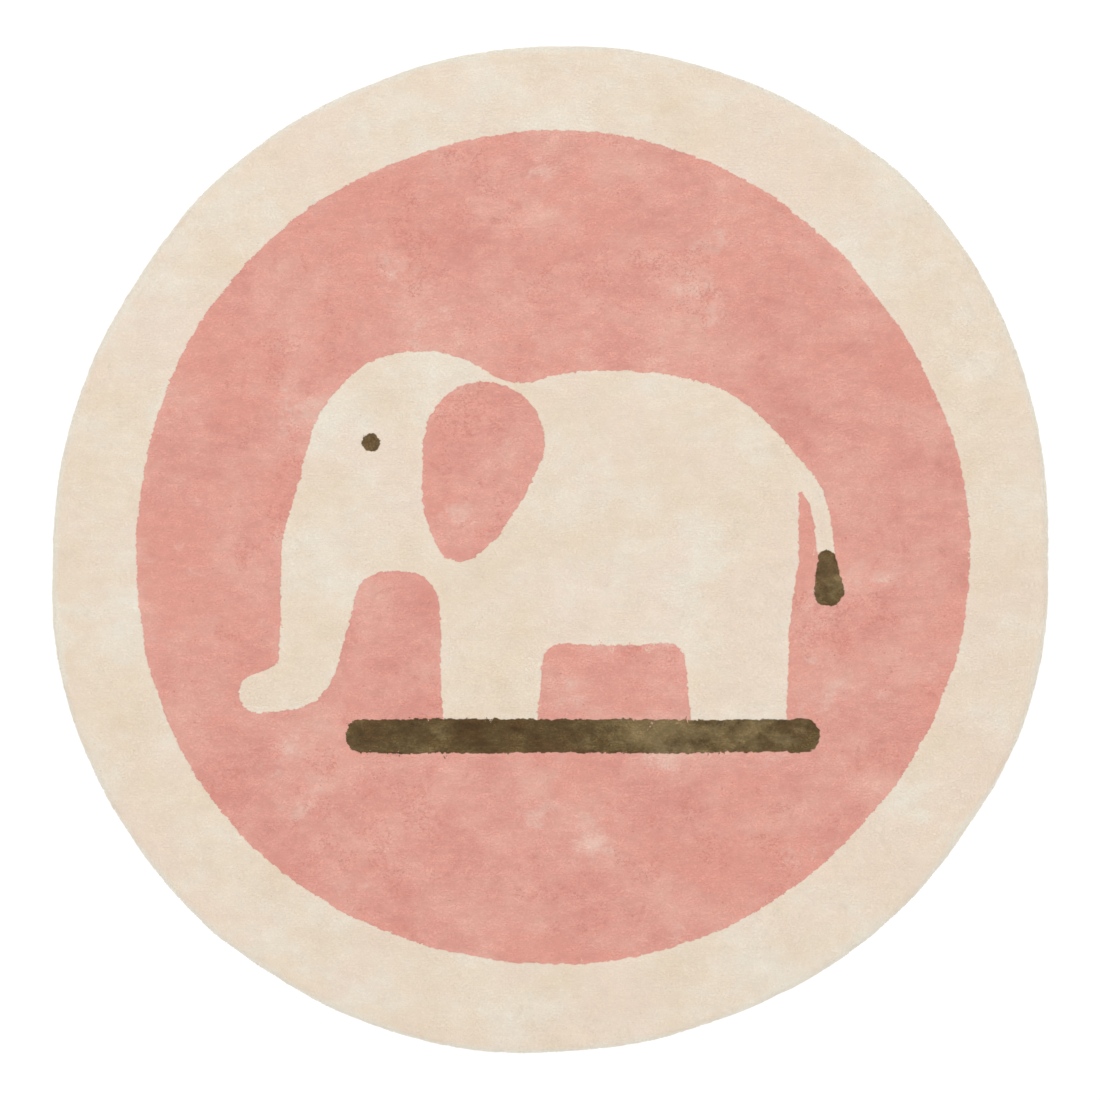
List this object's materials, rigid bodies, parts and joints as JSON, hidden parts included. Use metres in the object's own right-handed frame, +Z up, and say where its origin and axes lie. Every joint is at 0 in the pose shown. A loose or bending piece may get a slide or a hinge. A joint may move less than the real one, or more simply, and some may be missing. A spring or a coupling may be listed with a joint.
{
  "type": "round tufted kids rug with an animal motif",
  "caption": "Round tufted wool rug for a child's room. It lies flat on the floor and carries a plain animal motif in its pile.",
  "frame": {"origin": "on the floor, under the middle of the rug's bounding box", "axes": "+Z up, out of the pile; +Y towards the top of the motif; +X to the motif's right, seen from above"},
  "size_m": [1.089, 1.1008, 0.0145],
  "materials": {
    "wool_pile": "sheared cut pile of matt wool in cream, with a dusty pink field and small olive brown details"
  },
  "bodies": {
    "root": {"rug": "wool_pile"}
  },
  "joints": []
}
